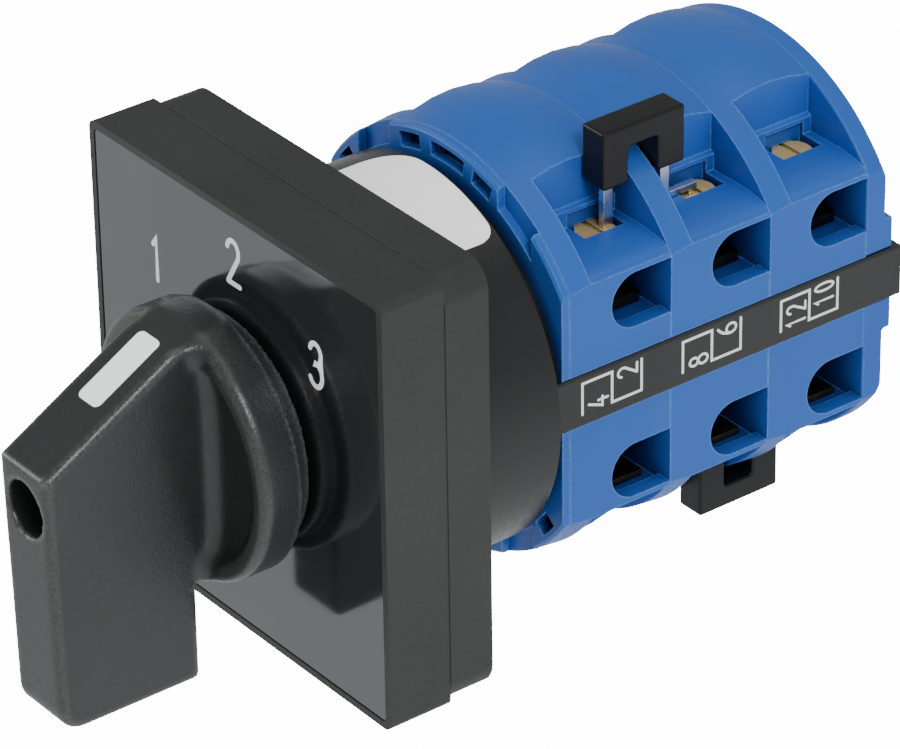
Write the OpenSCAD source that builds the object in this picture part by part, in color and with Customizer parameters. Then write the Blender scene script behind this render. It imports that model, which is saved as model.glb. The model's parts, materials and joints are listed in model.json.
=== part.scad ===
/* [Front plate] */
// Side of the square bezel frame
bezel_side = 48; // [46.5:0.5:50]
// Depth of the bezel frame in front of the panel
bezel_depth = 7.4; // [7:0.1:9]
// Width of the rim that shows around the legend plate
bezel_lip = 0.8; // [0.6:0.1:1.2]

/* [Panel fixing] */
// Side of the square base behind the panel
base_side = 48.2; // [47.6:0.1:48.6]
// Depth of the base behind the panel
base_depth = 5.2; // [5:0.1:5.6]
// Hole-to-hole distance of the four panel screws
screw_spacing = 36; // [35.8:0.1:36.4]
// Radius of the panel screw holes
screw_hole_r = 1.6; // [1.5:0.05:1.8]

/* [Contact stages] */
// Length of one contact stage along the shaft
pitch = 12.8; // [12.6:0.1:13.2]
// Radius of the round outline of the stages
body_r = 23.8; // [23.6:0.1:24]
// Distance of the flat sides from the shaft axis
flat_x = 18.8; // [18.6:0.1:19]

/* [Handle] */
// Distance of the handle's front face from the panel
handle_reach = 32.8; // [32.5:0.1:33.2]
// Width of the handle's blade
blade_width = 8; // [7.6:0.1:8.4]
// Radius of the handle's round foot
foot_r = 14.3; // [14:0.1:14.8]

/* [Movement] */
// Rise of a cam ramp for each radian that the shaft turns
cam_rise = 1.45; // [1.3:0.05:1.5]

/* [Hidden] */
$fn = 48;
stages = 3;
stage_ids = [for (i = [1:stages]) i];
drum_y = base_depth;
drum_end = drum_y + 11.3;
neck_end = drum_end + 1.7;
stack_y = neck_end + 1;
stack_end = stack_y + stages * pitch;
cover_end = stack_end + 2.6;
drum_r = 20.75;
neck_r = 20.2;
rim_r = body_r - 0.9;
collar_r = neck_r + 0.5;
screw_at = screw_spacing / 2;
bolt_x = 13;
bolt_r = 1.5;
bolt_head_r = 2.6;
bearing_r = 5;
journal_r = 3.2;
shaft_side = 5.6;
run_gap = 0.06;
step_angle = 45;
stop_angle = step_angle + 14.6;
stop_x = 9.8 * sin(stop_angle);
stop_z = -9.8 * cos(stop_angle);
cam_mid_r = 7.5;
step_rise = cam_rise * step_angle * PI / 180;
cam_half = 2.4;
plunger_w = 4;
plunger_h = 11.1;
seat_h = 5.5;
bar_t = 0.8;
bar_half = 5;
contact_z = cam_mid_r + run_gap + seat_h;
centre_y = 9.2;
wall_y = 2.7;
pocket_x = 9.5;
floor_z = 14.6;
ledge_z = floor_z + 1.8;
screw_x = 11.3;
slot_w = 3.4;
plate_top = contact_z + bar_t / 2;
screw_head_r = 2.1;
screw_head_h = 0.65;
head_top = plate_top + screw_head_h;
entry_low = 6.75;
entry_high = 12.9;
entry_len = 7.5;
strip_half = 2.9;
strip_z = 0.8;
strip_x = 17.3;
star_y = 8.6;
foot_back = -10;
link_x = 11.5;
tail_back = -15.7;
tail_z = -13.5;
slope = atan((13.3 - 5.3) / (31.7 - 17.5));

// Distance of a stage's front seam from the panel
function stage_y(i) = stack_y + (i - 1) * pitch;
// Cam radius under the plunger tips at rest: each stage closes one step later
function rest_r(i) = cam_mid_r + (2 - i) * step_rise;
// Points of an arc about (cx, cy), from angle a0 to a1
function arc(cx, cy, r, a0, a1, n = 8) =
    [for (k = [0:n]) let (a = a0 + (a1 - a0) * k / n) [cx + r * cos(a), cy + r * sin(a)]];

// Extrudes an outline drawn in X and Z from y0 to y1
module slab(y0, y1) {
    translate([0, y1, 0]) rotate([90, 0, 0]) linear_extrude(y1 - y0) children();
}

// Extrudes an outline drawn in Y and Z across the width, centred on x = 0
module across(width) {
    translate([-width / 2, 0, 0]) rotate([90, 0, 90]) linear_extrude(width) children();
}

// Round bar or hole along Y
module rod(y0, y1, r, x = 0, z = 0) {
    translate([x, y1, z]) rotate([90, 0, 0]) cylinder(h = y1 - y0, r = r);
}

// Box given by its lowest and highest corners
module block(low, high) {
    translate(low) cube(high - low);
}

// Solid of revolution about the shaft axis, outline as [radius, y]
module turned(points) {
    rotate([-90, 0, 0]) rotate_extrude($fn = 96) polygon(points);
}

module rounded_square(side, r) {
    for (sx = [-1, 1], sz = [-1, 1])
        translate([sx * (side / 2 - r), sz * (side / 2 - r)]) circle(r);
    square([side - 2 * r, side], center = true);
    square([side, side - 2 * r], center = true);
}

// Copies a piece drawn at positive x and z into the four corners
module four_corners() {
    for (mx = [0, 1], mz = [0, 1]) mirror([mx, 0, 0]) mirror([0, 0, mz]) children();
}

// ---------- Handle and shaft ----------

module blade_profile() {
    polygon(concat(
        [[-handle_reach, 4.2], [0.6 - handle_reach, 5], [-17.5, 13.3]],
        arc(-12.9, 8.1, foot_r - 8.1, 118, 90),
        [[-11, foot_r], [-11, tail_z], [tail_back, tail_z]],
        arc(tail_back - 0.6, -23.9, 0.6, 0, -90, 4),
        arc(3.2 - handle_reach, -21.9, 2.6, -90, -180)));
}

module handle_foot() {
    crest = -14.6;
    turned([[0, -7.8], [12.5, -7.8], [12.5, foot_back], [foot_r - 0.4, foot_back], [foot_r, foot_back - 0.4],
            [foot_r, crest + 0.7], [foot_r - 0.35, crest + 0.15], [foot_r - 0.8, crest],
            [foot_r - 1.6, crest + 0.15], [foot_r - 2.6, crest + 0.9], [foot_r - 4, crest + 1.3],
            [foot_r - 6, crest + 1.4], [0, crest + 1.4]]);
}

module handle() color([0.13, 0.13, 0.14]) difference() {
    union() {
        handle_foot();
        intersection() {
            across(blade_width) blade_profile();
            union() {
                rod(-34, -7, foot_r);
                block([-6, -34, -26], [6, -7, 3]);
            }
        }
    }
    rod(-34, -17, 3);
    rod(-17.5, -15, 1.7);
    translate([0, -11.4, 0]) cube([6, 7.6, 6], center = true);
    marker_blank(0.02);
}

module marker_blank(gap) {
    translate([0, -21.05, 5.3 + (31.7 - 21.05) * tan(slope)]) rotate([slope, 0, 0])
        translate([0, 0, -0.6 - gap]) linear_extrude(0.65 + gap) {
            for (s = [-1, 1]) translate([0, s * 3.8]) square([2 + 2 * gap, 1.4 + 2 * gap], center = true);
            square([3.4 + 2 * gap, 7.6 + 2 * gap], center = true);
            for (sx = [-1, 1], sy = [-1, 1]) translate([sx, sy * 3.8]) circle(0.7 + gap);
        }
}

module handle_marker() color([0.95, 0.95, 0.95]) marker_blank(0);

module handle_screw() color([0.7, 0.7, 0.72]) difference() {
    union() {
        rod(-19, -17, 2.7);
        rod(-17, -9.6, bolt_r);
    }
    block([-2.8, -19.1, -0.4], [2.8, -18.2, 0.4]);
}

module shaft() color([0.75, 0.76, 0.78]) difference() {
    union() {
        block([-2.95, -14.9, -2.95], [2.95, -7.7, 2.95]);
        rod(-7.7, 8.4, journal_r);
        block([-shaft_side / 2, 8.4, -shaft_side / 2], [shaft_side / 2, stack_end - 0.1, shaft_side / 2]);
        rod(stack_end - 0.1, cover_end - 0.4, 2.7);
    }
    rod(-15, -9, bolt_r + 0.03);
}

// Eight-pointed detent wheel with a stop lug behind it
module star_wheel() color([0.9, 0.88, 0.82]) difference() {
    union() {
        slab(star_y, star_y + 3)
            polygon([for (k = [0:15]) let (r = k % 2 == 0 ? 7.2 : 8.4)
                [r * sin(k * 22.5), r * cos(k * 22.5)]]);
        rod(star_y, 14.4, bearing_r);
        intersection() {
            rod(12, 14.4, 10.6);
            block([-1.2, 12, -11], [1.2, 14.4, -3]);
        }
    }
    block([-shaft_side / 2 - 0.03, 8, -shaft_side / 2 - 0.03],
          [shaft_side / 2 + 0.03, 15, shaft_side / 2 + 0.03]);
}

// Cam outline: two opposite ramps of constant rise, joined by easy curves
function cam_r(base, a) = let (w = a > 90 ? a - 180 : a < -90 ? a + 180 : a)
    abs(w) <= 52 ? base - cam_rise * w * PI / 180
                 : base - sign(w) * cam_rise * 52 * PI / 180 * (90 - abs(w)) / 38;

module cam(i) color([0.92, 0.9, 0.84]) {
    y0 = stage_y(i);
    difference() {
        union() {
            slab(y0 + centre_y - cam_half, y0 + centre_y + cam_half)
                polygon([for (a = [-180:4:176]) let (r = cam_r(rest_r(i), a)) [r * sin(a), r * cos(a)]]);
            rod(y0 + 0.1, y0 + pitch - 0.1, bearing_r - run_gap);
        }
        block([-shaft_side / 2 - 0.03, y0, -shaft_side / 2 - 0.03],
              [shaft_side / 2 + 0.03, y0 + pitch, shaft_side / 2 + 0.03]);
    }
}

// ---------- Front plate and base ----------

module bezel_frame() color([0.15, 0.15, 0.16]) {
    inner = bezel_side - 2 * bezel_lip;
    floor_y = -bezel_depth + 1.25;
    difference() {
        union() {
            difference() {
                slab(-bezel_depth, 0) rounded_square(bezel_side, 1);
                slab(-bezel_depth - 1, floor_y) rounded_square(inner, 0.6);
                slab(floor_y + 1.8, 1) rounded_square(bezel_side - 4, 0.6);
            }
            for (sx = [-1, 1], sz = [-1, 1])
                rod(floor_y + 1, 0, 3.6, sx * screw_at, sz * screw_at);
            for (s = [-1, 1]) {
                block([s * 12 - 0.6, floor_y + 1, -23], [s * 12 + 0.6, 0, 23]);
                block([-23, floor_y + 1, s * 12 - 0.6], [23, 0, s * 12 + 0.6]);
            }
        }
        rod(-bezel_depth - 1, 1, 4.4);
        for (sx = [-1, 1], sz = [-1, 1])
            rod(-4.4, 1, 2.2, sx * screw_at, sz * screw_at);
    }
}

module legend_plate() color([0.45, 0.46, 0.48]) difference() {
    slab(-bezel_depth + 0.1, -bezel_depth + 1.25) rounded_square(bezel_side - 2 * bezel_lip - 0.1, 0.55);
    rod(-bezel_depth - 1, 0, 4.4);
}

module frame_inserts() color([0.8, 0.65, 0.3])
    for (sx = [-1, 1], sz = [-1, 1]) difference() {
        rod(-4.4, -0.3, 2.18, sx * screw_at, sz * screw_at);
        rod(-5, 1, 1.25, sx * screw_at, sz * screw_at);
    }

module mounting_base() color([0.14, 0.14, 0.15]) difference() {
    slab(0, base_depth) rounded_square(base_side, 3);
    rod(-1, base_depth + 1, journal_r + run_gap);
    for (sx = [-1, 1], sz = [-1, 1])
        rod(-1, base_depth + 1, screw_hole_r, sx * screw_at, sz * screw_at);
    for (s = [-1, 1]) {
        rod(-1, base_depth + 1, 1.35, 0, s * 15);
        rod(-1, 2.4, 2.7, 0, s * 15);
    }
}

module base_screws() color([0.7, 0.7, 0.72]) for (s = [-1, 1]) difference() {
    union() {
        rod(0.3, 2.4, 2.5, 0, s * 15);
        rod(2.4, 12.4, 1.25, 0, s * 15);
    }
    block([-2.6, 0.2, s * 15 - 0.35], [2.6, 1.1, s * 15 + 0.35]);
}

// ---------- Latch ----------

module latch_housing() color([0.12, 0.12, 0.13]) difference() {
    union() {
        difference() {
            turned([[0, drum_y], [drum_r, drum_y], [drum_r, drum_end], [neck_r, drum_end],
                    [neck_r, neck_end], [0, neck_end]]);
            rod(drum_y + 2, neck_end + 1, 17);
        }
        for (s = [-1, 1]) {
            rod(drum_y + 1, neck_end, 3.3, s * bolt_x, 0);
            rod(drum_y + 1, 13, 2.8, 0, s * 15);
            for (t = [-1, 1])
                block([s * 10.4 - 0.9, drum_y + 1, t * 12 - 1.2], [s * 10.4 + 0.9, 12.6, t * 12 + 1.2]);
        }
    }
    rod(0, drum_y + 3, journal_r + run_gap);
    for (s = [-1, 1]) {
        rod(drum_y + 2.6, neck_end + 1, bolt_r + 0.1, s * bolt_x, 0);
        rod(drum_y - 1, 12.6, 1.3, 0, s * 15);
        translate([s * bolt_x, drum_y + 5, 0]) rotate([90, 0, 0]) cylinder(h = 6, r = 3.02, $fn = 6);
        block([s > 0 ? 17.2 : -25, drum_end, strip_z - strip_half - 0.1],
              [s > 0 ? 25 : -17.2, neck_end + 1, strip_z + strip_half + 0.1]);
    }
}

// Two leaf springs whose bent noses sit in the star wheel's notches
module detent_springs() color([0.8, 0.8, 0.82]) for (m = [0, 1]) mirror([m, 0, 0])
    slab(star_y + 0.2, star_y + 2.8) polygon([
        [9.4, -12.8], [8.9, -12.8], [8.9, -2.2], [7.3, 0], [8.9, 2.2], [8.9, 12.8],
        [9.4, 12.8], [9.4, 2], [7.9, 0], [9.4, -2]]);

// Pins that the lug of the star wheel meets at both ends of its travel
module stop_pins() color([0.7, 0.7, 0.72])
    for (s = [-1, 1]) rod(12, stack_y + 2.1, 1.2, s * stop_x, stop_z);

module rating_label() color([0.93, 0.93, 0.9])
    rotate([-90, 0, 0]) rotate([0, 0, -104.5]) rotate_extrude(angle = 47.5, $fn = 96)
        polygon([[drum_r + 0.02, drum_y + 0.3], [drum_r + 0.14, drum_y + 0.3],
                 [drum_r + 0.14, drum_end - 0.3], [drum_r + 0.02, drum_end - 0.3]]);

// ---------- Stack of contact stages ----------

module flat_sided(x) {
    intersection() {
        children();
        block([-x, -1, -30], [x, 80, 30]);
    }
}

// Holes and grooves that every layer of the stack shares
module shared_cuts(y0, y1) {
    for (s = [-1, 1]) {
        rod(y0 - 1, y1 + 1, bolt_r + 0.1, s * bolt_x, 0);
        block([s > 0 ? strip_x : -25, y0 - 1, strip_z - strip_half - 0.05],
              [s > 0 ? 25 : -strip_x, y1 + 1, strip_z + strip_half + 0.05]);
    }
}

// Holes for the stop pins, and pockets in the ring as [first angle, last angle] from the top
module front_cuts() {
    for (s = [-1, 1]) rod(neck_end - 1, stack_y + 2.2, 1.22, s * stop_x, stop_z);
    for (half = [0, 180], a = [[-52, -45], [-19, -10], [-5, 9], [13, 21]]) rotate([90, 0, 0])
        rotate([0, 0, half + 90 - a[1]]) translate([0, 0, -stack_y - 1.4])
            rotate_extrude(angle = a[1] - a[0], $fn = 96)
                translate([neck_r + 0.25, 0]) square([1.6, 3.4]);
}

// Ring behind the latch, cut back beside the front screw pockets
module front_cover() color([0.16, 0.38, 0.72]) difference() {
    flat_sided(flat_x) union() {
        rod(neck_end, stack_y, collar_r);
        difference() {
            turned([[0, neck_end], [rim_r - 0.3, neck_end], [rim_r, neck_end + 0.3],
                    [rim_r, stack_y], [0, stack_y]]);
            four_corners() block([pocket_x - 0.7, 0, 10], [pocket_x + 4.5, 80, 30]);
        }
    }
    rod(neck_end - 1, stack_y + 1, bearing_r);
    shared_cuts(neck_end, stack_y);
    front_cuts();
}

// Side opening for a wire: round towards the front, square at the rear seam
module wire_entry(y0) {
    r = (entry_high - entry_low) / 2;
    translate([flat_x + 1, 0, (entry_high + entry_low) / 2]) rotate([0, -90, 0]) {
        translate([0, y0 + pitch - entry_len + r, 0]) cylinder(h = flat_x + 1 - 16.5, r = r);
        translate([-r, y0 + pitch - entry_len + r, 0]) cube([2 * r, entry_len, flat_x + 1 - 16.5]);
    }
}

module stage_corner_cuts(y0) {
    mid = y0 + centre_y;
    wire_entry(y0);
    block([8.6, y0 + pitch - entry_len, 6.4], [17, y0 + pitch + 1, plate_top]);
    slab(y0 + wall_y, y0 + pitch + 1) polygon([
        [pocket_x + 0.5, floor_z], [15, floor_z], [17, 14.3], [18.2, 13.9], [flat_x + 0.1, 13.4],
        [25, 13.4], [25, 25], [pocket_x, 25], [pocket_x, ledge_z + 0.3], [pocket_x + 0.5, ledge_z]]);
    block([pocket_x, mid - 2.5, contact_z], [pocket_x + slot_w, mid + 2.5, 16]);
    translate([screw_x, mid, contact_z]) cylinder(h = head_top + 0.05 - contact_z, r = screw_head_r + 0.1);
    block([6, mid - 2.1, plate_top - bar_t - 0.05], [9, mid + 2.1, plate_top]);
}

module stage_housing(i) color([0.16, 0.38, 0.72]) {
    y0 = stage_y(i);
    mid = y0 + centre_y;
    difference() {
        flat_sided(flat_x) turned([[0, y0], [body_r - 0.9, y0], [body_r - 0.65, y0 + wall_y],
            [body_r - 0.15, y0 + 5], [body_r, y0 + 7.5], [body_r - 0.25, y0 + 10.2],
            [body_r - 0.8, y0 + pitch], [0, y0 + pitch]]);
        rod(y0 + 2.4, y0 + pitch + 1, 10.3);
        rod(y0 - 1, y0 + 3, bearing_r);
        block([-6.9, y0 + 2.4, -15.9], [6.9, y0 + pitch + 1, 15.9]);
        block([-plunger_w / 2 - run_gap, mid - 2.36, -21.4], [plunger_w / 2 + run_gap, y0 + pitch + 1, 21.4]);
        shared_cuts(y0, y0 + pitch);
        four_corners() stage_corner_cuts(y0);
        if (i == 1) front_cuts();
    }
}

module rear_cover() color([0.16, 0.38, 0.72]) difference() {
    union() {
        flat_sided(flat_x) turned([[0, stack_end], [rim_r, stack_end], [rim_r, cover_end - 0.6],
                                   [rim_r - 0.6, cover_end], [0, cover_end]]);
        for (s = [-1, 1])
            block([s * 17.6 - 1.2, cover_end - 1, strip_z - 6.5],
                  [s * 17.6 + 1.2, cover_end + 1, strip_z + 6.5]);
    }
    rod(stack_end - 1, cover_end - 0.3, 2.7 + run_gap);
    shared_cuts(stack_end, cover_end);
    for (s = [-1, 1]) rod(cover_end - 1.5, cover_end + 1, bolt_head_r + 0.2, s * bolt_x, 0);
}

module tie_bolts() color([0.7, 0.7, 0.72]) for (s = [-1, 1]) difference() {
    union() {
        rod(drum_y + 2.8, cover_end - 1.5, bolt_r, s * bolt_x, 0);
        rod(cover_end - 1.5, cover_end + 0.1, bolt_head_r, s * bolt_x, 0);
    }
    block([s * bolt_x - 3, cover_end - 0.7, -0.35], [s * bolt_x + 3, cover_end + 0.2, 0.35]);
}

module tie_nuts() color([0.7, 0.7, 0.72]) for (s = [-1, 1]) difference() {
    translate([s * bolt_x, drum_y + 4.8, 0]) rotate([90, 0, 0]) cylinder(h = 2, r = 2.98, $fn = 6);
    rod(drum_y, drum_y + 6, bolt_r + 0.02, s * bolt_x, 0);
}

module marking_strip(side) color([0.1, 0.1, 0.11]) mirror([side < 0 ? 1 : 0, 0, 0])
    slab(drum_end + 0.2, cover_end + 2) translate([0, strip_z]) polygon([
        [strip_x + 0.05, -strip_half], [flat_x + 0.1, -strip_half], [flat_x + 0.3, -strip_half + 0.2],
        [flat_x + 0.3, strip_half - 0.2], [flat_x + 0.1, strip_half], [strip_x + 0.05, strip_half]]);

// ---------- Terminals ----------

module terminal_plates(i) color([0.83, 0.68, 0.36]) {
    mid = stage_y(i) + centre_y;
    four_corners() difference() {
        union() {
            block([bar_half + 0.1, mid - 1.8, plate_top - bar_t], [9, mid + 1.8, plate_top - 0.02]);
            block([8.8, mid - 2.6, plate_top - bar_t], [15.6, mid + 2.6, plate_top - 0.02]);
        }
        translate([screw_x, mid, 10]) cylinder(h = 6, r = 1.4);
    }
}

module terminal_screws(i) color([0.86, 0.74, 0.45]) {
    mid = stage_y(i) + centre_y;
    four_corners() difference() {
        union() {
            translate([screw_x, mid, plate_top]) cylinder(h = screw_head_h, r = screw_head_r);
            translate([screw_x, mid, 6.6]) cylinder(h = plate_top - 6.6, r = 1.2);
        }
        block([screw_x - 2.3, mid - 0.3, head_top - 0.3], [screw_x + 2.3, mid + 0.3, 16]);
    }
}

module terminal_clamps(i) color([0.78, 0.78, 0.8]) {
    mid = stage_y(i) + centre_y;
    four_corners() difference() {
        union() {
            block([9, mid - 2.8, 6.5], [14.8, mid + 2.8, 7.7]);
            block([9, mid - 2.8, 6.5], [9.8, mid + 2.8, plate_top - bar_t - 0.3]);
        }
        translate([screw_x, mid, 6]) cylinder(h = 3, r = 1.25);
    }
}

// ---------- Moving contacts ----------

module plunger(i) color([0.93, 0.92, 0.88]) {
    tip = rest_r(i) + run_gap;
    mid = stage_y(i) + centre_y;
    w = plunger_w / 2;
    difference() {
        slab(mid - 2.3, mid + 2.3) polygon(concat(
            arc(0, tip + 1, 1, 180, 360),
            [[w, tip + 2.2], [w, tip + plunger_h], [-w, tip + plunger_h], [-w, tip + 2.2]]));
        block([-3, mid - 1.83, tip + seat_h - bar_t / 2 - 0.02],
              [3, mid + 1.83, tip + seat_h + bar_t / 2 + 0.02]);
        translate([0, mid, tip + 6.3]) cylinder(h = plunger_h, r = 1.4);
    }
}

module bridge(i) color([0.86, 0.72, 0.5]) {
    mid = stage_y(i) + centre_y;
    z = rest_r(i) + run_gap + seat_h;
    block([-bar_half, mid - 1.8, z - bar_t / 2], [bar_half, mid + 1.8, z + bar_t / 2]);
}

// Coil spring along +Z: a helix of round wire, each ring of the sweep a pentagon
function ring_at(t, turns, rise, coil, wire) = let (a = 360 * turns * t)
    [for (k = [0:4]) let (b = 72 * k, r = coil + wire * cos(b))
        [r * cos(a), r * sin(a), rise * t + wire * sin(b)]];

module coil_spring(length, coil, wire, turns) {
    steps = turns * 10;
    pts = [for (s = [0:steps]) each ring_at(s / steps, turns, length - 2 * wire, coil, wire)];
    sides = [for (s = [0:steps - 1], k = [0:4]) let (a = s * 5 + k, b = s * 5 + (k + 1) % 5)
        each [[a, b, b + 5], [a, b + 5, a + 5]]];
    translate([0, 0, wire]) polyhedron(points = pts,
        faces = concat([[4, 3, 2, 1, 0]], sides, [[for (k = [0:4]) steps * 5 + k]]));
}

module contact_springs() color([0.75, 0.75, 0.78])
    for (i = stage_ids, m = [0, 1]) mirror([0, 0, m]) {
        low = rest_r(i) + run_gap + 6.3;
        translate([0, stage_y(i) + centre_y, low + 0.02]) coil_spring(21.4 - low - 0.04, 1.1, 0.2, 4);
    }

// ---------- Plug-in links ----------

// Drawn above the shaft, bridging stage i and the next one
module link_cover(i, top) color([0.1, 0.1, 0.11]) {
    rib = stage_y(i + 1);
    difference() {
        block([link_x - 1.8, rib - 4, top - 6.4], [link_x + 1.6, rib + 6.4, top]);
        block([9, rib - 0.7, 0], [14, rib + wall_y + 0.3, top - 2.5]);
        block([link_x - 0.5, rib - 3.1, 0], [link_x + 0.5, rib - 1.7, top - 1.1]);
        block([link_x - 0.5, rib + 4.1, 0], [link_x + 0.5, rib + 5.5, top - 1.1]);
        block([link_x - 0.5, rib - 3.1, top - 1.7], [link_x + 0.5, rib + 5.5, top - 1.1]);
    }
}

module link_bar(i, top) color([0.8, 0.8, 0.8]) {
    rib = stage_y(i + 1);
    for (low = [[rib - 3, head_top + 0.02], [rib + 4.2, floor_z + 0.1]])
        block([link_x - 0.4, low[0], low[1]], [link_x + 0.4, low[0] + 1.2, top - 1.15]);
    block([link_x - 0.4, rib - 3, top - 1.65], [link_x + 0.4, rib + 5.4, top - 1.15]);
    block([link_x - 0.4, rib + 4.2, floor_z + 0.1], [link_x + 0.4, rib + 9, floor_z + 0.8]);
    block([link_x - 0.4, rib + 8, head_top + 0.02], [link_x + 0.4, rib + 9, floor_z + 0.8]);
}

handle();
handle_marker();
handle_screw();
shaft();
star_wheel();
bezel_frame();
legend_plate();
frame_inserts();
mounting_base();
base_screws();
latch_housing();
detent_springs();
stop_pins();
rating_label();
front_cover();
rear_cover();
tie_bolts();
tie_nuts();
marking_strip(1);  // marking_strip_right
marking_strip(-1);  // marking_strip_left
link_cover(1, 25.5);  // link_cover_top
mirror([0, 0, 1]) link_cover(2, 23.6);  // link_cover_bottom
link_bar(1, 25.5);  // link_bar_top
mirror([0, 0, 1]) link_bar(2, 23.6);  // link_bar_bottom
contact_springs();
for (i = stage_ids) {
    stage_housing(i);
    cam(i);
    terminal_plates(i);
    terminal_clamps(i);
    terminal_screws(i);
    plunger(i);
    mirror([0, 0, 1]) plunger(i);
    bridge(i);
    mirror([0, 0, 1]) bridge(i);
}
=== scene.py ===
import json
import math

import bmesh
import bpy
import numpy as np
from mathutils import Matrix, Quaternion, Vector


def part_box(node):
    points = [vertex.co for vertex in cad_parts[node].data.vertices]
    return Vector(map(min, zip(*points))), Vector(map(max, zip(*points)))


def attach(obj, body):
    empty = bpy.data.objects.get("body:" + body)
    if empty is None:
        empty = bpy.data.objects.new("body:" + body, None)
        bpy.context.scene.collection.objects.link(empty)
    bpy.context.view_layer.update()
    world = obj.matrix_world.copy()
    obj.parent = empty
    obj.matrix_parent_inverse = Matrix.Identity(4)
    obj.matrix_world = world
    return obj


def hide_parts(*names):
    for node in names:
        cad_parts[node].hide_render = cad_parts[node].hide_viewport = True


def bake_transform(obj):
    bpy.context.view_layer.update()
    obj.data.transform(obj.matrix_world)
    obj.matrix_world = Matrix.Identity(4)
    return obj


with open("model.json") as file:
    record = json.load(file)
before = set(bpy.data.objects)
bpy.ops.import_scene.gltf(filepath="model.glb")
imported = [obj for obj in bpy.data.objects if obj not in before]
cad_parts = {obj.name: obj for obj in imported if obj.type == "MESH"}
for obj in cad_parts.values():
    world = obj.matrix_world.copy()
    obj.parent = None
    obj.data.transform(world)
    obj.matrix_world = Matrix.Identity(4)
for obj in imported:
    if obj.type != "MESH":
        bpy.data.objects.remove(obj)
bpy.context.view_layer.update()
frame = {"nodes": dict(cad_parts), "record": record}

MM = 0.001
STAGES = (1, 2, 3)


# ---------- Materials: every one is a node network in object space ----------

class Mat:
    """Builds one procedural material. Lengths are in mm."""

    def __init__(self, name):
        self.material = bpy.data.materials.new(name)
        self.material.use_nodes = True
        self.tree = self.material.node_tree
        self.shader = self.tree.nodes["Principled BSDF"]
        self.place = self.add("ShaderNodeTexCoord").outputs["Object"]

    def add(self, kind, **values):
        """A node. A value named in_Something goes to the input of that name, any other to the node."""
        node = self.tree.nodes.new(kind)
        for key, value in values.items():
            if key.startswith("in_"):
                node.inputs[key[3:].replace("_", " ")].default_value = value
            else:
                setattr(node, key, value)
        return node

    def link(self, source, target):
        self.tree.links.new(source, target)

    def noise(self, per_mm, detail, rough=0.5, stretch=None):
        node = self.add("ShaderNodeTexNoise", in_Scale=per_mm / MM, in_Detail=detail, in_Roughness=rough)
        place = self.place
        if stretch:
            mapping = self.add("ShaderNodeMapping", in_Scale=stretch)
            self.link(place, mapping.inputs["Vector"])
            place = mapping.outputs["Vector"]
        self.link(place, node.inputs["Vector"])
        return node.outputs["Fac"]

    def ramp(self, value, from_min, from_max, to_min, to_max):
        node = self.add("ShaderNodeMapRange", in_From_Min=from_min, in_From_Max=from_max,
                        in_To_Min=to_min, in_To_Max=to_max)
        self.link(value, node.inputs["Value"])
        return node.outputs["Result"]

    def mix(self, share, first, second):
        """Colour between first and second, each a colour or another node's output."""
        node = self.add("ShaderNodeMix", data_type="RGBA")
        self.link(share, node.inputs["Factor"])
        colour_inputs = [s for s in node.inputs if s.type == "RGBA"]
        for socket, colour in zip(colour_inputs, (first, second)):
            if isinstance(colour, bpy.types.NodeSocket):
                self.link(colour, socket)
            else:
                socket.default_value = (*colour, 1)
        return next(s for s in node.outputs if s.type == "RGBA")

    def drift(self, per_mm, detail, first, second, low=0.3, high=0.7):
        """Colour that wanders between two near shades."""
        return self.mix(self.ramp(self.noise(per_mm, detail), low, high, 0, 1), first, second)

    def painted_shade_in_holes(self, reach, deep_at, open_at):
        """Painted shade from ambient occlusion: 0 far inside a hole, 1 in the open."""
        node = self.add("ShaderNodeAmbientOcclusion", samples=6, in_Distance=reach * MM)
        return self.ramp(node.outputs["AO"], deep_at, open_at, 0, 1)

    def edges(self, width):
        """1 along sharp edges and seams, 0 on open faces; it places a painted highlight."""
        soft = self.add("ShaderNodeBevel", samples=4, in_Radius=width * MM)
        shape = self.add("ShaderNodeNewGeometry")
        match = self.add("ShaderNodeVectorMath", operation="DOT_PRODUCT")
        self.link(soft.outputs["Normal"], match.inputs[0])
        self.link(shape.outputs["True Normal"], match.inputs[1])
        return self.ramp(match.outputs["Value"], 0.995, 0.9, 0, 1)

    def crests(self):
        """1 on the rounded crests of a fine mesh, 0 on flat and sunken faces; it places painted glints."""
        shape = self.add("ShaderNodeNewGeometry")
        return self.ramp(shape.outputs["Pointiness"], 0.51, 0.56, 0, 1)

    def product(self, first, second):
        node = self.add("ShaderNodeMath", operation="MULTIPLY")
        self.link(first, node.inputs[0])
        self.link(second, node.inputs[1])
        return node.outputs["Value"]

    def bump(self, height, strength, depth, under=None):
        node = self.add("ShaderNodeBump", in_Strength=strength, in_Distance=depth * MM)
        self.link(height, node.inputs["Height"])
        if under is not None:
            self.link(under, node.inputs["Normal"])
        return node.outputs["Normal"]

    def set(self, name, value):
        if isinstance(value, bpy.types.NodeSocket):
            self.link(value, self.shader.inputs[name])
        else:
            self.shader.inputs[name].default_value = value


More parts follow.
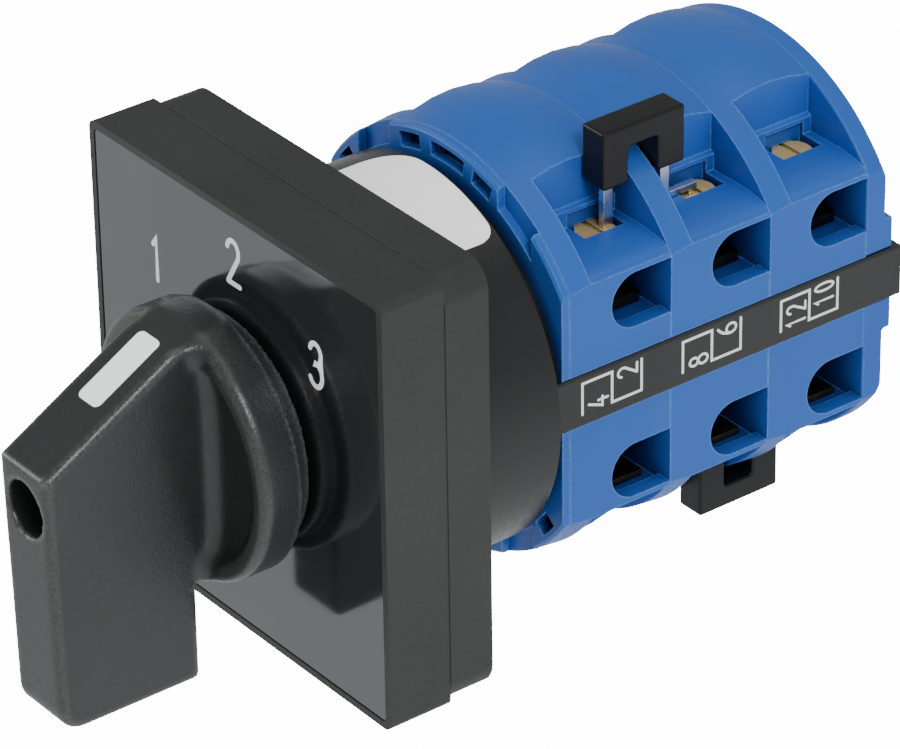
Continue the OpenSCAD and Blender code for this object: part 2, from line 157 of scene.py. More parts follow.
def plastic(name, dark, light, rough, grain_mm, grain, spec=0.5, flow=0.02,
            painted_hole_shade=None, edge=None, fine_mesh=False, painted_glow=0.0):
    """Moulded plastic: slow colour drift, spark-eroded grain and uneven gloss.

    The colour given for holes is painted shade, the one given for edges a painted highlight that the grain
    breaks into painted glints, and the emission is painted light.
    """
    m = Mat(name)
    colour = m.drift(0.06, 2, dark, light)
    # Painted shade: the colour darkens in holes and crevices, where ambient occlusion finds them.
    if painted_hole_shade:
        colour = m.mix(m.painted_shade_in_holes(10, 0.08, 0.36), painted_hole_shade, colour)
    fine = m.noise(1 / grain_mm, 2, 0.6)
    # Painted highlight: the colour lightens along edges and seams, or along the crests of a fine mesh, and
    # the grain breaks it into painted glints.
    if edge:
        along = m.crests() if fine_mesh else m.edges(0.3)
        colour = m.mix(m.product(along, m.ramp(fine, 0.4, 0.6, 0.35, 1)), colour, edge)
    m.set("Base Color", colour)
    # Painted light: the emission makes the part give off a little light of its own.
    m.set("Emission Color", colour)
    m.set("Emission Strength", painted_glow)
    m.set("Roughness", m.ramp(m.noise(0.5 / grain_mm, 3), 0.3, 0.7, rough - 0.05, rough + 0.06))
    m.set("Specular IOR Level", spec)
    waves = m.bump(m.noise(0.12, 2), flow, 1.0)
    m.set("Normal", m.bump(fine, grain, grain_mm * 0.5, waves))
    return m.material


def metal(name, bright, dull, rough, stretch, scratch=0.04, metallic=1.0, painted_hole_shade=None, open_at=0.35):
    """Turned or rolled metal: fine streaks and slightly tarnished patches, and a given colour in holes as
    painted shade.
    """
    m = Mat(name)
    colour = m.drift(0.5, 3, bright, dull, 0.35, 0.7)
    # Painted shade: the colour darkens in holes, where ambient occlusion finds them.
    if painted_hole_shade:
        colour = m.mix(m.painted_shade_in_holes(8, 0.15, open_at), painted_hole_shade, colour)
    m.set("Base Color", colour)
    m.set("Metallic", metallic)
    streak = m.noise(0.4, 2, 0.5, stretch)
    m.set("Roughness", m.ramp(streak, 0.3, 0.7, rough - 0.05, rough + 0.08))
    m.set("Normal", m.bump(streak, scratch, 0.03))
    return m.material


def lacquer():
    """Grey metallic lacquer under a clear gloss."""
    m = Mat("grey_lacquer")
    m.set("Base Color", m.drift(0.05, 2, (0.138, 0.148, 0.156), (0.15, 0.16, 0.168)))
    m.set("Metallic", 0.85)
    m.set("Roughness", m.ramp(m.noise(0.4, 3), 0.3, 0.7, 0.07, 0.11))
    m.set("Coat Weight", 0.15)
    m.set("Coat Roughness", 0.04)
    m.set("Normal", m.bump(m.noise(0.08, 2), 0.02, 1.0))
    return m.material


def ink():
    """White printing ink, a little uneven, with a faint emission that is painted light."""
    m = Mat("white_ink")
    colour = m.drift(4, 3, (0.8, 0.81, 0.8), (0.88, 0.89, 0.88), 0.35, 0.65)
    m.set("Base Color", colour)
    m.set("Emission Color", colour)
    m.set("Emission Strength", 0.3)
    m.set("Roughness", m.ramp(m.noise(3, 2), 0.3, 0.7, 0.45, 0.6))
    m.set("Normal", m.bump(m.noise(5, 2), 0.1, 0.02))
    return m.material


MATS = {
    # The handle's edge colour paints glints on its crests: painted highlight.
    "handle_black": plastic("grained_handle", (0.022, 0.024, 0.024), (0.028, 0.030, 0.030),
                            rough=0.31, grain_mm=0.3, grain=0.24, spec=0.6,
                            edge=(0.15, 0.153, 0.15), fine_mesh=True),
    "frame_black": plastic("grained_frame", (0.026, 0.029, 0.027), (0.033, 0.037, 0.035),
                           rough=0.48, grain_mm=0.22, grain=0.3),
    "drum_black": plastic("smooth_drum", (0.009, 0.009, 0.010), (0.013, 0.013, 0.014),
                          rough=0.3, grain_mm=0.3, grain=0.03, flow=0.005),
    "strip_black": plastic("satin_strip", (0.018, 0.019, 0.019), (0.024, 0.025, 0.025),
                           rough=0.42, grain_mm=0.2, grain=0.1),
    "link_black": plastic("smooth_link", (0.008, 0.008, 0.009), (0.012, 0.012, 0.012),
                          rough=0.36, grain_mm=0.25, grain=0.12, spec=0.3),
    # The blue's colour in holes is painted shade, and its edge colour a painted highlight along edges and
    # seams.
    "body_blue": plastic("moulded_blue", (0.021, 0.124, 0.52), (0.026, 0.14, 0.56),
                         rough=0.36, grain_mm=0.35, grain=0.04, spec=0.35,
                         painted_hole_shade=(0.004, 0.018, 0.12), edge=(0.15, 0.37, 0.86)),
    "nylon": plastic("moulded_nylon", (0.72, 0.68, 0.58), (0.78, 0.75, 0.66),
                     rough=0.4, grain_mm=0.3, grain=0.08),
    # The white inlay and sticker give off light through their emission: painted light.
    "marker_white": plastic("white_inlay", (0.93, 0.94, 0.96), (0.96, 0.97, 0.98),
                            rough=0.35, grain_mm=0.2, grain=0.04, painted_glow=0.7),
    "label_white": plastic("white_sticker", (0.92, 0.93, 0.91), (0.95, 0.96, 0.94),
                           rough=0.45, grain_mm=0.12, grain=0.04, painted_glow=0.55),
    "steel": metal("zinc_steel", (0.62, 0.63, 0.65), (0.5, 0.51, 0.52), rough=0.3, stretch=(1, 4, 1)),
    "silver": metal("tinned_copper", (0.93, 0.92, 0.9), (0.84, 0.83, 0.81), rough=0.3, stretch=(4, 4, 1)),
    # The brass darkens in holes: painted shade.
    "brass": metal("bare_brass", (1.0, 0.74, 0.3), (0.95, 0.66, 0.25), rough=0.25, stretch=(4, 1, 4),
                   scratch=0.02, metallic=0.35, painted_hole_shade=(0.06, 0.042, 0.02), open_at=0.2),
    "plate_grey": lacquer(),
}
INK = ink()
# Darker copies of brass and steel for the terminal plates and clamps inside the wire entries: painted shade.
# The plates also turn near black in holes, which is more painted shade.
SHADED_BRASS = metal("shaded_brass", (0.32, 0.24, 0.12), (0.2, 0.15, 0.08), rough=0.4, stretch=(4, 1, 4),
                   scratch=0.02, metallic=0.8, painted_hole_shade=(0.006, 0.007, 0.012), open_at=0.75)
SHADED_STEEL = metal("shaded_steel", (0.05, 0.05, 0.055), (0.03, 0.03, 0.03), rough=0.45, stretch=(4, 4, 1))

RECORD = frame["record"]
SLOT_OF = {part["node"]: part["material_slot"] for part in RECORD["subparts"]}
BODY_OF = {node: body for body, nodes in RECORD["behaviour"]["bodies"].items() for node in nodes}


def paint(obj, material):
    obj.data.materials.clear()
    obj.data.materials.append(material)


for node, obj in frame["nodes"].items():
    paint(obj, MATS[SLOT_OF[node]])


# ---------- Mesh helpers ----------

SEAM_GAP = 0.002 * MM                  # points nearer than this are one point
FLAT_ANGLE, CORNER_ANGLE = 0.6, 32     # degrees: below is one flat face, above is a corner to round
CREASE_ANGLE = 40                      # degrees: edges sharper than this stay sharp


def new_object(mesh, body, slot, material=None):
    """A piece named after its mesh."""
    obj = bpy.data.objects.new(mesh.name, mesh)
    bpy.context.scene.collection.objects.link(obj)
    paint(obj, material or MATS[slot])
    if body:
        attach(obj, body)
    return obj


def mesh_from(bm, name):
    """Turns a bmesh into a mesh and frees it."""
    mesh = bpy.data.meshes.new(name)
    bm.to_mesh(mesh)
    bm.free()
    return mesh


def smooth(mesh, sharp_above=None):
    """Smooth shading, apart from edges sharper than an angle in degrees."""
    mesh.polygons.foreach_set("use_smooth", [True] * len(mesh.polygons))
    if sharp_above:
        mesh.set_sharp_from_angle(angle=math.radians(sharp_above))
    mesh.update()


def cad_copy(node):
    """A bmesh of a CAD node with its seams closed and its flat faces in one piece."""
    bm = bmesh.new()
    bm.from_mesh(frame["nodes"][node].data)
    bmesh.ops.remove_doubles(bm, verts=bm.verts, dist=SEAM_GAP)
    bmesh.ops.dissolve_limit(bm, angle_limit=math.radians(FLAT_ANGLE), verts=bm.verts, edges=bm.edges)
    return bm


def rounded(node, width, reshape=None):
    """Replaces a CAD node by the same shape with its sharp edges rounded over, width in mm.

    reshape is a function that changes the shape first.
    """
    bm = cad_copy(node)
    if reshape:
        reshape(bm)
    obj = new_object(mesh_from(bm, node + "_moulded"), BODY_OF[node], SLOT_OF[node])
    bevel = obj.modifiers.new("round", "BEVEL")
    bevel.limit_method = "ANGLE"
    bevel.angle_limit = math.radians(CORNER_ANGLE)
    bevel.width = width * MM
    bevel.segments = 3
    bevel.miter_outer = "MITER_ARC"
    bevel.use_clamp_overlap = True
    smooth(obj.data)
    even = obj.modifiers.new("even", "WEIGHTED_NORMAL")
    even.keep_sharp = True
    even.mode = "FACE_AREA"
    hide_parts(node)
    return obj


# ---------- Handle: one smooth moulding from a distance field, in mm ----------

def round_corners(points, steps=6):
    """Closed outline from (x, y, corner radius) points."""
    outline = []
    for k, (x, y, radius) in enumerate(points):
        corner = np.array((x, y), float)
        if radius <= 0:
            outline.append(corner)
            continue
        back = np.array(points[k - 1][:2], float) - corner
        ahead = np.array(points[(k + 1) % len(points)][:2], float) - corner
        back, ahead = back / np.linalg.norm(back), ahead / np.linalg.norm(ahead)
        half = math.acos(float(np.clip(back @ ahead, -1, 1))) / 2
        centre = corner + (back + ahead) / np.linalg.norm(back + ahead) * radius / math.sin(half)
        first = corner + back * radius / math.tan(half) - centre
        last = corner + ahead * radius / math.tan(half) - centre
        sweep = math.pi - 2 * half
        for w in np.linspace(0, 1, steps + 1):
            spoke = math.sin((1 - w) * sweep) * first + math.sin(w * sweep) * last
            outline.append(centre + spoke / math.sin(sweep))
    return np.array(outline)


def outline_distance(px, py, outline):
    """Signed distance to a closed outline, negative inside."""
    best = np.full(px.shape, 1e9)
    inside = np.zeros(px.shape, bool)
    for (ax, ay), (bx, by) in zip(outline, np.roll(outline, -1, 0)):
        ex, ey, wx, wy = bx - ax, by - ay, px - ax, py - ay
        t = np.clip((wx * ex + wy * ey) / (ex * ex + ey * ey), 0, 1)
        best = np.minimum(best, (wx - ex * t) ** 2 + (wy - ey * t) ** 2)
        if ey:
            inside ^= ((ay > py) != (by > py)) & (wx < ex * wy / ey)
    return np.sqrt(best) * np.where(inside, -1, 1)


def round_and(a, b, r):
    """Both solids, with an edge of radius r where they meet."""
    return np.minimum(-r, np.maximum(a, b)) + np.hypot(np.maximum(a + r, 0), np.maximum(b + r, 0))


def round_or(a, b, r):
    """Either solid, with a fillet of radius r where they meet."""
    return np.maximum(r, np.minimum(a, b)) - np.hypot(np.maximum(r - a, 0), np.maximum(r - b, 0))


# The blade's side view, as (y, z, corner radius).
BLADE = round_corners([(-32.8, 4.66, 0.6), (-17.5, 13.3, 3.0), (-13.5, 14.3, 3.5), (-11, 14.3, 0),
                       (-11, -13.5, 0), (-15.7, -13.5, 0), (-15.7, -24.5, 0.7), (-32.2, -24.5, 2.6)])
# The turned foot and the turned screw hole, as (distance from the axis, y, corner radius).
FOOT = round_corners([(-5, -7.8, 0), (12.5, -7.8, 0), (12.5, -10, 0), (14.3, -10, 0.15),
                      (14.3, -14.6, 1.1), (12.6, -14.75, 0.7), (11.4, -13.7, 1.4), (9.4, -13.3, 3),
                      (6.5, -13.2, 3), (-5, -13.2, 0)])
BORE = round_corners([(-5, -40, 0), (3, -40, 0), (3, -17, 0), (1.7, -17, 0), (1.7, -15, 0), (-5, -15, 0)])
FOOT_RADIUS = 14.3
UNCUT = -5    # a distance well inside
HALF_BLADE, BLADE_EDGE, BLADE_TOP_EDGE, BORE_EDGE = 4.05, 0.95, 0.6, 0.14
# Fillet between blade and foot: its radius at four heights z.
FILLET_AT, FILLET = (-14, -11, 9, 13), (0.8, 2.0, 2.0, 1.6)
# Square socket for the shaft: half its width, the y of its middle and half its depth.
HALF_SOCKET, SOCKET_MIDDLE, HALF_SOCKET_DEPTH = 3, -11.4, 3.8
# Box that holds the handle, and the size of its mesh's quads.
HANDLE_LOW, HANDLE_HIGH, HANDLE_STEP = (-15, -33, -25.2), (15, -7, 15), 0.42


def handle_distance(p):
    """Signed distance to the handle, negative inside."""
    x, y, z = p[:, 0], p[:, 1], p[:, 2]
    rho = np.hypot(x, z)
    blade = round_and(outline_distance(y, z, BLADE), np.abs(x) - HALF_BLADE, BLADE_EDGE)
    # Above the axis the blade ends on the foot's cylinder. Below it, nothing is cut away.
    blade = round_and(blade, np.where(z > 0, rho - FOOT_RADIUS, UNCUT), BLADE_TOP_EDGE)
    foot = outline_distance(rho, y, FOOT)
    body = round_or(blade, foot, np.interp(z, FILLET_AT, FILLET))
    body = round_and(body, -outline_distance(rho, y, BORE), BORE_EDGE)
    across = np.maximum(np.abs(x), np.abs(z)) - HALF_SOCKET
    socket = np.maximum(across, np.abs(y - SOCKET_MIDDLE) - HALF_SOCKET_DEPTH)
    return np.maximum(body, -socket)


def gradient(field, p, eps=0.03):
    """Unit direction in which a field grows."""
    g = np.stack([field(p + e) - field(p - e) for e in np.eye(3) * eps], 1) / (2 * eps)
    return g / np.maximum(np.linalg.norm(g, axis=1, keepdims=True), 1e-6)


def settle(field, p):
    """Moves points onto the surface of a field."""
    for _ in range(3):
        p = p - gradient(field, p) * np.clip(field(p), -0.3, 0.3)[:, None]
    return p


def relax(p, ends):
    """Moves each point half way to the mean of its neighbours. ends holds each edge's two points."""
    near, links = np.zeros_like(p), np.zeros(len(p))
    np.add.at(near, ends[:, 0], p[ends[:, 1]])
    np.add.at(links, ends[:, 0], 1)
    return 0.5 * p + 0.5 * near / links[:, None]


def skin(name, field, low, high, step):
    """Smooth quad mesh of the surface where a distance field is zero.

    Each grid cell that the surface crosses gets one point, and each crossed grid edge one quad.
    """
    axes = [np.arange(a, b + step, step) for a, b in zip(low, high)]
    grid = np.stack(np.meshgrid(*axes, indexing="ij"), -1)
    v = field(grid.reshape(-1, 3)).reshape(grid.shape[:3])
    n = np.array(v.shape)
    total, count = np.zeros((*(n - 1), 3)), np.zeros(n - 1)
    crossings = []
    for d in range(3):
        u, w = (d + 1) % 3, (d + 2) % 3
        below, above = [slice(None)] * 3, [slice(None)] * 3
        below[d], above[d] = slice(0, -1), slice(1, None)
        a, b = v[tuple(below)], v[tuple(above)]
        cross = (a < 0) != (b < 0)
        t = np.where(cross, a / np.where(cross, a - b, 1), 0)
        point = grid[tuple(below)] + t[..., None] * step * np.eye(3)[d]
        crossings.append((cross, a < 0))
        for du in (0, 1):
            for dw in (0, 1):
                pick = [slice(None)] * 3
                pick[u], pick[w] = slice(du, n[u] - 1 + du), slice(dw, n[w] - 1 + dw)
                hit = cross[tuple(pick)]
                total += np.where(hit[..., None], point[tuple(pick)], 0)
                count += hit
    used = count > 0
    ids = np.full(n - 1, -1)
    ids[used] = np.arange(used.sum())
    p = total[used] / count[used][:, None]
    quads = []
    for d, (cross, solid) in enumerate(crossings):
        eu, ew = np.eye(3, dtype=int)[(d + 1) % 3], np.eye(3, dtype=int)[(d + 2) % 3]
        at = np.argwhere(cross)
        q = np.stack([ids[tuple((at - o).T)] for o in (eu + ew, ew, 0 * eu, eu)], 1)
        out = solid[tuple(at.T)]
        quads.append(np.where(out[:, None], q, q[:, ::-1]))
    quads = np.concatenate(quads)
    ends = np.concatenate([quads[:, [k, (k + 1) % 4]] for k in range(4)])
    for _ in range(5):
        p = relax(settle(field, p), ends)
    p = settle(field, p)
    mesh = bpy.data.meshes.new(name)
    mesh.from_pydata((p * MM).tolist(), [], quads.tolist())
    mesh.update()
    smooth(mesh)
    return mesh


handle_mesh = skin("handle_moulding", handle_distance, HANDLE_LOW, HANDLE_HIGH, HANDLE_STEP)
handle = new_object(handle_mesh, "rotor", "handle_black")
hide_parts("handle")


# ---------- Printed numbers and marks: thin ink strokes, in mm ----------

INK_TOP, INK_UNDER = 0.03, -0.02    # from the printed face
STROKE_STEP = 0.008                 # each further stroke of a digit lies this much higher
ADVANCE, DIGIT_WIDTH, NARROW_ONE = 0.72, 0.5, 0.14    # shares of a digit's height
PLATE_DIGIT, STRIP_DIGIT = (4.75, 0.56), (2.4, 0.28)  # height and stroke width
LINE_WIDTH = 0.3


def arc(cx, cy, r, start, stop, stretch=1.0, steps=14):
    """Points of an arc between two angles in degrees."""
    return [(cx + r * math.cos(math.radians(a)), cy + r * stretch * math.sin(math.radians(a)))
            for a in np.linspace(start, stop, steps)]


# Each digit's strokes, in a box 0.5 wide and 1 high.
DIGITS = {
    "0": [arc(0.25, 0.5, 0.25, 0, 360, 2.0, 29)],
    "1": [[(0.1, 0.82), (0.25, 1.0), (0.25, 0.0)]],
    "2": [arc(0.25, 0.75, 0.25, 165, -35) + [(0.02, 0.03)], [(0.0, 0.0), (0.52, 0.0)]],
    "3": [arc(0.24, 0.76, 0.24, 160, -90) + arc(0.24, 0.27, 0.27, 88, -155)],
    "4": [[(0.32, 1.0), (0.0, 0.28), (0.5, 0.28)], [(0.36, 0.5), (0.36, 0.0)]],
    "5": [[(0.46, 1.0), (0.08, 1.0), (0.05, 0.55)] + arc(0.23, 0.3, 0.28, 115, -145)],
    "6": [arc(0.26, 0.27, 0.26, 180, 540, 1.0, 27),
          [(0.42, 0.99), (0.24, 0.85), (0.1, 0.66), (0.02, 0.45), (0.0, 0.27)]],
    "7": [[(0.0, 1.0), (0.5, 1.0), (0.14, 0.0)]],
    "8": [arc(0.25, 0.25, 0.25, 90, 450, 1.0, 27), arc(0.25, 0.74, 0.22, -90, 270, 1.0, 27)],
    "9": [arc(0.26, 0.73, 0.26, 0, 360, 1.0, 27),
          [(0.52, 0.73), (0.5, 0.55), (0.42, 0.34), (0.28, 0.15), (0.1, 0.01)]],
}


def ribbon(bm, points, width, place, layer=0):
    """A stroke as a thin raised prism: round ends, or a ring where it closes on itself."""
    pts = [np.array(p, float) for p in points]
    closed = np.linalg.norm(pts[0] - pts[-1]) < 1e-6
    if closed:
        pts = pts[:-1]
    left, right = [], []
    for k, p in enumerate(pts):
        before = p - pts[k - 1] if k or closed else None
        after = pts[(k + 1) % len(pts)] - p if k < len(pts) - 1 or closed else None
        a, b = (v / np.linalg.norm(v) if v is not None else None for v in (before, after))
        a, b = (b if a is None else a), (a if b is None else b)
        side = np.array((-a[1] - b[1], a[0] + b[0]))
        side = side / np.linalg.norm(side)
        reach = width / 2 / max(0.5, float(side @ np.array((-a[1], a[0]))))
        left.append(p + side * reach)
        right.append(p - side * reach)
    rings = [left, right]
    if not closed:
        loop = list(left)
        for end, a in ((pts[-1], left[-1]), (pts[0], right[0])):
            start = math.atan2(a[1] - end[1], a[0] - end[0])
            cap = [end + width / 2 * np.array((math.cos(start - t), math.sin(start - t)))
                   for t in np.linspace(0, math.pi, 7)[1:-1]]
            loop += cap + (right[::-1] if end is pts[-1] else [])
        rings = [loop]
    top = INK_TOP + STROKE_STEP * layer
    upper = [[bm.verts.new(place(q, top)) for q in ring] for ring in rings]
    lower = [[bm.verts.new(place(q, INK_UNDER)) for q in ring] for ring in rings]
    n = len(upper[0])
    if not closed:
        bm.faces.new(upper[0])
        bm.faces.new(lower[0][::-1])
    for k in range(n):
        m = (k + 1) % n
        if closed:
            bm.faces.new((upper[0][k], upper[1][k], upper[1][m], upper[0][m]))
            bm.faces.new((lower[0][m], lower[1][m], lower[1][k], lower[0][k]))
            bm.faces.new((upper[0][k], upper[0][m], lower[0][m], lower[0][k]))
            bm.faces.new((upper[1][m], upper[1][k], lower[1][k], lower[1][m]))
        else:
            bm.faces.new((upper[0][k], lower[0][k], lower[0][m], upper[0][m]))


def write(bm, text, digit_size, centre, right, place, squeeze):
    """Draws digits round a centre; right is the writing direction, squeeze narrows them."""
    height, width = digit_size
    right = np.array(right, float)
    up = np.array((-right[1], right[0]))
    advance = height * ADVANCE * squeeze
    span = advance * (len(text) - 1) + height * DIGIT_WIDTH * squeeze
    start = np.array(centre, float) - (right * span + up * height) / 2
    for k, digit in enumerate(text):
        shift = NARROW_ONE * height if digit == "1" and len(text) > 1 else 0
        for layer, line in enumerate(DIGITS[digit]):
            pts = [start + right * (k * advance + (x * height) * squeeze - shift) + up * y * height
                   for x, y in line]
            ribbon(bm, pts, width, place, layer)


def ink_piece(name, draw, body, slot):
    bm = bmesh.new()
    draw(bm)
    bmesh.ops.recalc_face_normals(bm, faces=bm.faces)
    return new_object(mesh_from(bm, name), body, slot, INK)


plate_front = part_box("legend_plate")[0][1]


def on_plate(q, lift):
    return (q[0] * MM, plate_front - lift * MM, q[1] * MM)


def plate_numbers(bm):
    for text, centre in (("1", (-13.15, 12.65)), ("2", (0.0, 18.1)), ("3", (13.2, 12.65))):
        write(bm, text, PLATE_DIGIT, centre, (1, 0), on_plate, 0.78)


ink_piece("plate_numbers", plate_numbers, "housing", "marker_white")

NUMBER_PAIRS = {1: (("4", "2"), ("8", "6"), ("12", "10")), -1: (("1", "3"), ("5", "7"), ("9", "11"))}
# The stepped line round a stage's two numbers, as (y from its start, z).
STEPPED_LINE = ((0, -0.65), (0, 2.85), (3.75, 2.85), (3.75, -0.62), (7.5, -0.62), (7.5, 2.95))
LINE_START = 1.3    # behind the stage's front seam
# A stage's two numbers: y from the line's start, z of a number with one digit, z of one with two.
NUMBER_PLACES = ((2.0, 0.05, 0.75), (5.7, 2.25, 1.95))


def stage_front(i):
    """Front seam of a stage along Y, in mm."""
    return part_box(f"stage_housing_{i}")[0][1] / MM


def strip_marks(side):
    """Numbers and lines on one marking strip; side is 1 for the right one and -1 for the left one."""
    name = "right" if side > 0 else "left"
    low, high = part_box(f"marking_strip_{name}")
    face = high[0] if side > 0 else low[0]

    def place(q, lift):
        return (face + side * lift * MM, q[0] * MM, q[1] * MM)

    def draw(bm):
        for i, pair in zip(STAGES, NUMBER_PAIRS[side]):
            y = stage_front(i) + LINE_START
            ribbon(bm, [(y + along, z) for along, z in STEPPED_LINE], LINE_WIDTH, place)
            for text, (along, z_single, z_double) in zip(pair, NUMBER_PLACES):
                z, squeeze = (z_single, 0.85) if len(text) == 1 else (z_double, 0.7)
                write(bm, text, STRIP_DIGIT, (y + along, z), (0, side), place, squeeze)

    ink_piece(f"strip_marks_{name}", draw, "housing", "marker_white")


for side in (1, -1):
    strip_marks(side)


# ---------- Blank sticker, wrapped round the drum ----------

STICKER_FROM, STICKER_TO = -14.5, 33    # degrees round the drum from the top
STICKER_LIFT = 0.1                      # its thickness, in mm
STICKER_COLUMNS, STICKER_ROWS = 61, 5


def outline_span(outline, s):
    """Lowest and highest y where a column at x = s crosses a closed outline."""
    hits = []
    for (ax, ay), (bx, by) in zip(outline, np.roll(outline, -1, 0)):
        if (ax > s) != (bx > s):
            hits.append(ay + (by - ay) * (s - ax) / (bx - ax))
    return min(hits), max(hits)


def curved_sticker():
    low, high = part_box("rating_label")
    front, rear = low[1] / MM, high[1] / MM
    radius = high[2] / MM - STICKER_LIFT
    left, right = math.radians(STICKER_FROM) * radius, math.radians(STICKER_TO) * radius
    flat = round_corners([(left, front, 1.5), (right, front, 0.5), (right, rear, 1.9), (left, rear, 4.4)], 10)
    columns = np.linspace(left + 0.01, right - 0.01, STICKER_COLUMNS)
    bm = bmesh.new()
    layers = []
    for lift in (STICKER_LIFT, 0.0):
        out = radius + lift
        grid = []
        for s in columns:
            x, z = out * math.sin(s / radius) * MM, out * math.cos(s / radius) * MM
            ys = np.linspace(*outline_span(flat, s), STICKER_ROWS)
            grid.append([bm.verts.new((x, y * MM, z)) for y in ys])
        layers.append(grid)
    top, under = layers
    last_column, last_row = STICKER_COLUMNS - 1, STICKER_ROWS - 1
    for c in range(last_column):
        for r in range(last_row):
            bm.faces.new((top[c][r], top[c + 1][r], top[c + 1][r + 1], top[c][r + 1]))
            bm.faces.new((under[c][r], under[c][r + 1], under[c + 1][r + 1], under[c + 1][r]))
        for r in (0, last_row):
            bm.faces.new((top[c][r], top[c + 1][r], under[c + 1][r], under[c][r]))
    for c in (0, last_column):
        for r in range(last_row):
            bm.faces.new((top[c][r], top[c][r + 1], under[c][r + 1], under[c][r]))
    bmesh.ops.recalc_face_normals(bm, faces=bm.faces)
    sticker = new_object(mesh_from(bm, "blank_sticker"), "housing", "label_white")
    smooth(sticker.data, CREASE_ANGLE)
    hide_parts("rating_label")


curved_sticker()


# ---------- The pieces whose shape comes from the CAD, with moulded edges ----------

NECK, SLIM_NECK = 20.2 * MM, 18.7 * MM    # radius of the neck in CAD and here
NECK_LENGTH = 1.8 * MM
NOTCH_MIDDLE, HALF_NOTCH = 0.8 * MM, 3.1 * MM    # heights of the notch in each side of the neck
COIL_REACH = 4 * MM                              # reach along Y that holds one stage's coils


def slim_neck(bm):
    """The neck behind the drum steps in by a little more, so the rim stands clear of it.

    The notches on its two sides keep their height.
    """
    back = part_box("latch_housing")[1][1]
    for v in bm.verts:
        on_neck = abs(math.hypot(v.co.x, v.co.z) - NECK) < 0.1 * MM
        if v.co.y > back - NECK_LENGTH and on_neck:
            in_notch = abs(v.co.z - NOTCH_MIDDLE) < HALF_NOTCH
            z = v.co.z if in_notch else v.co.z * SLIM_NECK / NECK
            v.co.x = math.copysign(math.sqrt(SLIM_NECK ** 2 - z ** 2), v.co.x)
            v.co.z = z


def contact_springs():
    """Cuts the springs into one coil per stage and side, each at its own plunger."""
    coils = cad_copy("contact_springs")
    for side, sign in (("upper", 1), ("lower", -1)):
        for i in STAGES:
            low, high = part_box(f"plunger_upper_{i}")
            centre = (low[1] + high[1]) / 2
            coil = coils.copy()
            other = [v for v in coil.verts if v.co.z * sign <= 0 or abs(v.co.y - centre) >= COIL_REACH]
            bmesh.ops.delete(coil, geom=other, context="VERTS")
            obj = new_object(mesh_from(coil, f"spring_{side}_{i}"), None, SLOT_OF["contact_springs"])
            smooth(obj.data, CREASE_ANGLE)
            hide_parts("contact_springs")
            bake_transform(obj)
    coils.free()


# How far each piece's edges are rounded over, in mm.
EDGE_WIDTH = {
    "mounting_base": 0.5, "latch_housing": 0.12, "front_cover": 0.2, "rear_cover": 0.25,
    "marking_strip_right": 0.12, "marking_strip_left": 0.12, "link_cover_top": 0.35,
    "link_cover_bottom": 0.35, "link_bar_top": 0.08, "link_bar_bottom": 0.08,
    "bezel_frame": 0.3, "legend_plate": 0.05, "handle_marker": 0.04, "handle_screw": 0.12,
    "tie_bolts": 0.12, "shaft": 0.1, "star_wheel": 0.15,
}
STAGE_EDGE_WIDTH = {"stage_housing": 0.22, "terminal_screws": 0.08, "terminal_plates": 0.06,
                    "terminal_clamps": 0.1, "cam": 0.15}
for i in STAGES:
    for part, width in STAGE_EDGE_WIDTH.items():
        EDGE_WIDTH[f"{part}_{i}"] = width
MADE = {node: rounded(node, width, slim_neck if node == "latch_housing" else None)
        for node, width in EDGE_WIDTH.items()}
contact_springs()
# Painted shade: the terminal clamps and plates inside the wire entries take the darker copies of steel and
# brass.
for i in STAGES:
    paint(MADE[f"terminal_clamps_{i}"], SHADED_STEEL)
    paint(MADE[f"terminal_plates_{i}"], SHADED_BRASS)


# ---------- Camera, light and floor, in metres ----------

CAMERA_AT = (0.39190863, -0.27808352, 0.28889749)
CAMERA_TURN = (0.78180207, 0.44043025, 0.22349189, 0.38060228)
FLOOR_HALF, FLOOR_Z, FLOOR_GLOW = 6, -0.14, 14.0


def camera():
    """A long lens, from the front right and above."""
    cam = bpy.data.objects.new("camera", bpy.data.cameras.new("camera"))
    cam.data.sensor_width = 36
    cam.data.lens = 227.04
    cam.data.clip_start, cam.data.clip_end = 0.01, 20
    cam.matrix_world = Matrix.LocRotScale(Vector(CAMERA_AT), Quaternion(CAMERA_TURN), None)
    bpy.context.scene.collection.objects.link(cam)
    bpy.context.scene.camera = cam


def softbox(name, place, aim, size, watts, tint=(1, 1, 1)):
    lamp = bpy.data.lights.new(name, "AREA")
    lamp.shape = "RECTANGLE"
    lamp.size, lamp.size_y = size
    lamp.energy = watts
    lamp.color = tint
    obj = bpy.data.objects.new(name, lamp)
    obj.location = place
    obj.rotation_mode = "QUATERNION"
    obj.rotation_quaternion = (Vector(aim) - Vector(place)).to_track_quat("-Z", "Y")
    obj.visible_camera = False
    bpy.context.scene.collection.objects.link(obj)


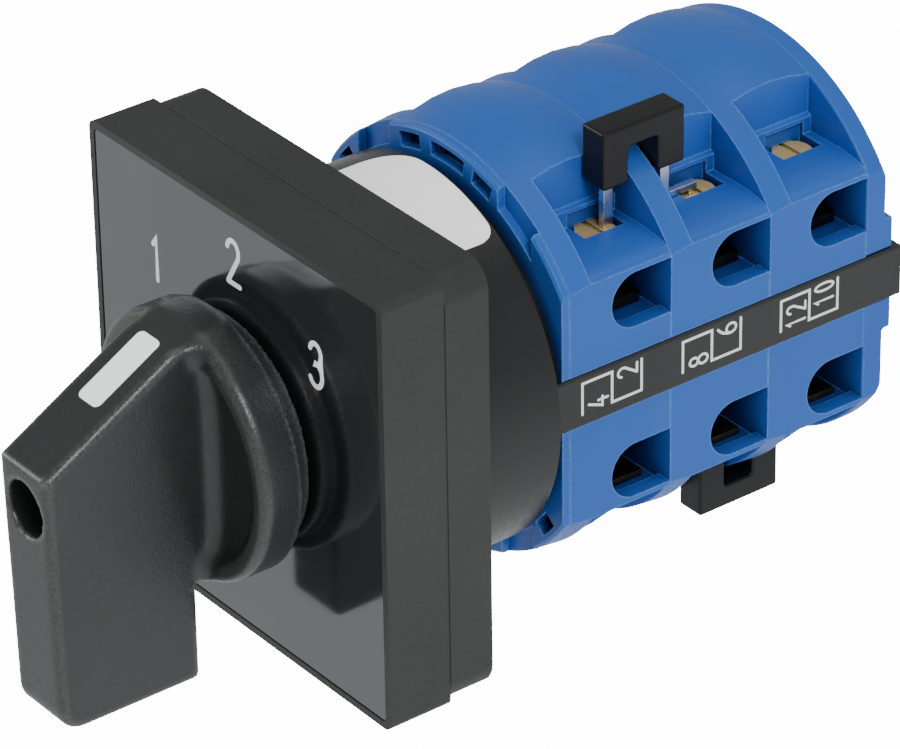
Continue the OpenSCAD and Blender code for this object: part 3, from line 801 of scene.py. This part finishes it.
def pale_floor():
    """Floor that glows evenly, so it stays pale, and that adds no light of its own to the object."""
    far = FLOOR_HALF
    corners = [(x, y, FLOOR_Z) for x, y in ((-far, -far), (far, -far), (far, far), (-far, far))]
    mesh = bpy.data.meshes.new("floor")
    mesh.from_pydata(corners, [], [(0, 1, 2, 3)])
    floor = bpy.data.objects.new("floor", mesh)
    bpy.context.scene.collection.objects.link(floor)
    m = Mat("pale_floor")
    m.set("Base Color", (0.9, 0.9, 0.9, 1))
    m.set("Roughness", 0.9)
    m.set("Emission Color", (1, 1, 1, 1))
    m.set("Emission Strength", FLOOR_GLOW)
    paint(floor, m.material)
    floor.visible_diffuse = floor.visible_glossy = False


def studio_world():
    """Soft light from all round, stronger from the object's right and from below."""
    world = bpy.data.worlds.new("studio")
    world.use_nodes = True
    tree = world.node_tree
    sky = tree.nodes["Background"]
    sky.inputs["Color"].default_value = (0.98, 0.99, 1, 1)
    way = tree.nodes.new("ShaderNodeTexCoord")
    parts = tree.nodes.new("ShaderNodeSeparateXYZ")
    total = tree.nodes.new("ShaderNodeMath")
    tree.links.new(way.outputs["Generated"], parts.inputs["Vector"])
    # Along each axis: the direction's range, and the strength at its two ends.
    ranges = (("X", 0.0, 0.9, 0.38, 0.66), ("Z", 0.1, -0.5, 0.0, 0.5))
    for slot, (axis, *limits) in enumerate(ranges):
        level = tree.nodes.new("ShaderNodeMapRange")
        for name, value in zip(("From Min", "From Max", "To Min", "To Max"), limits):
            level.inputs[name].default_value = value
        tree.links.new(parts.outputs[axis], level.inputs["Value"])
        tree.links.new(level.outputs["Result"], total.inputs[slot])
    tree.links.new(total.outputs["Value"], sky.inputs["Strength"])
    bpy.context.scene.world = world


camera()
pale_floor()
studio_world()
softbox("key", (0.64, -0.17, 0.62), (0, 0.01, 0), (0.3, 0.3), 3.4, (0.96, 0.98, 1.0))
softbox("front", (-0.75, -0.6, 0.25), (0, 0, 0), (0.5, 0.5), 3.6)
softbox("top", (0.05, 0.25, 0.9), (0, 0.02, 0), (0.6, 0.6), 1.0, (1.0, 0.98, 0.93))
